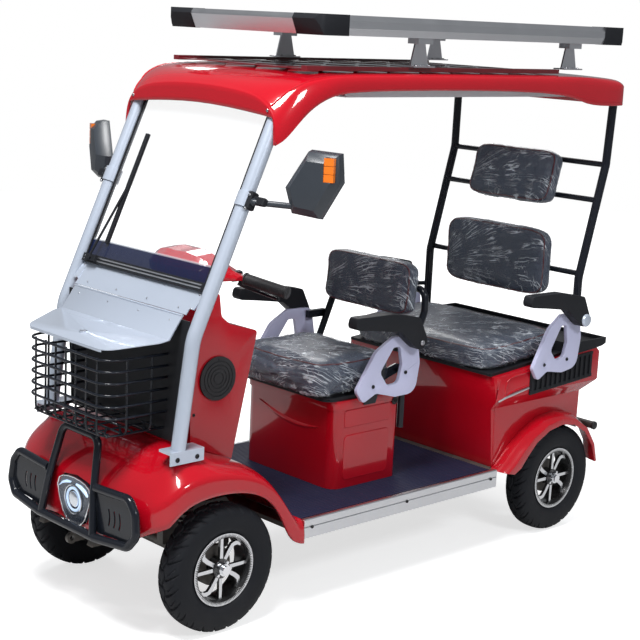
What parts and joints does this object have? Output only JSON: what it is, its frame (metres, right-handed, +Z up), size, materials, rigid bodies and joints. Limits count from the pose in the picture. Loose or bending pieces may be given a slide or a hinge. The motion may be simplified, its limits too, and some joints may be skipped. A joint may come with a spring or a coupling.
{
  "type": "electric quadricycle",
  "caption": "Roofed electric quadricycle with two seat rows, a steered front axle, basket, mirrors and a solar panel on the roof.",
  "frame": {"origin": "middle of the box round the vehicle, on the ground", "axes": "-Y towards the front, +X towards the vehicle's left side, +Z up"},
  "size_m": [1.1982, 2.13, 1.825],
  "materials": {
    "frame_black": "semi-gloss",
    "tube_black": "gloss",
    "body_red": "gloss",
    "roof_insert": "gloss",
    "liner_white": "satin",
    "silver_paint": "gloss",
    "arm_frame_paint": "satin",
    "aluminium": "satin",
    "mat_rubber": "ribbed",
    "black_plastic": "matte",
    "dark_glass": "gloss",
    "clear_glass": "clear",
    "lamp_clear": "clear cover",
    "amber_lamp": "gloss",
    "mirror_face": "polished",
    "seat_vinyl": "wrapped in clear film",
    "tyre_rubber": "matte",
    "rim_alloy": "machined lip, black face",
    "battery_case": "matte"
  },
  "bodies": {
    "frame": {"chassis": "frame_black", "floor_deck": "frame_black", "floor_mat": "mat_rubber", "side_rails": "aluminium", "front_body": "body_red", "headlamp": "lamp_clear", "bumper": "tube_black", "front_column": "body_red", "grille_covers": "black_plastic", "front_plate": "silver_paint", "basket": "tube_black", "basket_back": "black_plastic", "front_posts": "silver_paint", "roof_frame": "aluminium", "windscreen": "clear_glass", "screen_frame": "black_plastic", "roof": "body_red", "roof_lattice": "roof_insert", "roof_liner": "liner_white", "rear_posts": "tube_black", "solar_frame": "aluminium", "solar_corners": "black_plastic", "solar_panel": "dark_glass", "solar_feet": "aluminium", "mirror_housings": "black_plastic", "mirror_glass": "mirror_face", "signal_lamps": "amber_lamp", "front_seat_box": "body_red", "battery": "battery_case", "front_back": "seat_vinyl", "front_back_frame": "tube_black", "arm_frames": "arm_frame_paint", "rear_box": "body_red", "rear_tray": "black_plastic", "rear_cushion": "seat_vinyl", "rear_backs": "seat_vinyl", "rear_fenders": "body_red", "front_axle": "frame_black", "rear_axle": "frame_black"},
    "steering": {"tiller": "tube_black", "dash_pod": "body_red"},
    "tie_rod": {"tie_rod": "frame_black"},
    "knuckle_l": {"knuckle_l": "frame_black"},
    "knuckle_r": {"knuckle_r": "frame_black"},
    "wheel_fl": {"tyre_fl": "tyre_rubber", "rim_fl": "rim_alloy"},
    "wheel_fr": {"tyre_fr": "tyre_rubber", "rim_fr": "rim_alloy"},
    "wheel_rl": {"tyre_rl": "tyre_rubber", "rim_rl": "rim_alloy"},
    "wheel_rr": {"tyre_rr": "tyre_rubber", "rim_rr": "rim_alloy"},
    "lid": {"lid": "silver_paint"},
    "seat": {"seat_pan": "black_plastic", "front_cushion": "seat_vinyl"},
    "arm_fl": {"arm_fl": "black_plastic"},
    "arm_fr": {"arm_fr": "black_plastic"},
    "arm_rl": {"arm_rl": "black_plastic"},
    "arm_rr": {"arm_rr": "black_plastic"}
  },
  "joints": [
    {"name": "steering", "type": "hinge", "parent": "frame", "child": "steering", "pos_m": [0, -0.745, 0.25], "axis": [0, 0.1865, 0.9824], "range_deg": [-28, 28]},
    {"name": "kingpin_left", "type": "hinge", "parent": "frame", "child": "knuckle_l", "pos_m": [0.285, -0.745, 0.197], "axis": [0, 0, 1], "range_deg": [-28, 28]},
    {"name": "kingpin_right", "type": "hinge", "parent": "frame", "child": "knuckle_r", "pos_m": [-0.285, -0.745, 0.197], "axis": [0, 0, 1], "range_deg": [-28, 28]},
    {"name": "tie_rod_slide", "type": "slide", "parent": "frame", "child": "tie_rod", "axis": [1, 0, 0], "range_m": [-0.046, 0.046]},
    {"name": "wheel_front_left", "type": "hinge", "parent": "knuckle_l", "child": "wheel_fl", "pos_m": [0.345, -0.745, 0.197], "axis": [1, 0, 0], "continuous": true},
    {"name": "wheel_front_right", "type": "hinge", "parent": "knuckle_r", "child": "wheel_fr", "pos_m": [-0.345, -0.745, 0.197], "axis": [1, 0, 0], "continuous": true},
    {"name": "wheel_rear_left", "type": "hinge", "parent": "frame", "child": "wheel_rl", "pos_m": [0.345, 0.815, 0.197], "axis": [1, 0, 0], "continuous": true},
    {"name": "wheel_rear_right", "type": "hinge", "parent": "frame", "child": "wheel_rr", "pos_m": [-0.345, 0.815, 0.197], "axis": [1, 0, 0], "continuous": true},
    {"name": "lid_hinge", "type": "hinge", "parent": "frame", "child": "lid", "pos_m": [0, -0.843, 0.958], "axis": [-1, 0, 0], "range_deg": [0, 100]},
    {"name": "seat_hinge", "type": "hinge", "parent": "frame", "child": "seat", "pos_m": [0, -0.185, 0.596], "axis": [1, 0, 0], "range_deg": [0, 75]},
    {"name": "armrest_front_left", "type": "hinge", "parent": "frame", "child": "arm_fl", "pos_m": [0.287, 0.135, 0.771], "axis": [-1, 0, 0], "range_deg": [0, 100]},
    {"name": "armrest_front_right", "type": "hinge", "parent": "frame", "child": "arm_fr", "pos_m": [-0.287, 0.135, 0.771], "axis": [-1, 0, 0], "range_deg": [0, 100]},
    {"name": "armrest_rear_left", "type": "hinge", "parent": "frame", "child": "arm_rl", "pos_m": [0.41, 0.836, 0.798], "axis": [-1, 0, 0], "range_deg": [0, 100]},
    {"name": "armrest_rear_right", "type": "hinge", "parent": "frame", "child": "arm_rr", "pos_m": [-0.41, 0.836, 0.798], "axis": [-1, 0, 0], "range_deg": [0, 100]}
  ],
  "couplings": [
    {"joint": "kingpin_left", "follows": "steering", "ratio": 1},
    {"joint": "kingpin_right", "follows": "steering", "ratio": 1},
    {"joint": "tie_rod_slide", "follows": "steering", "m_per_rad": -0.0915}
  ]
}
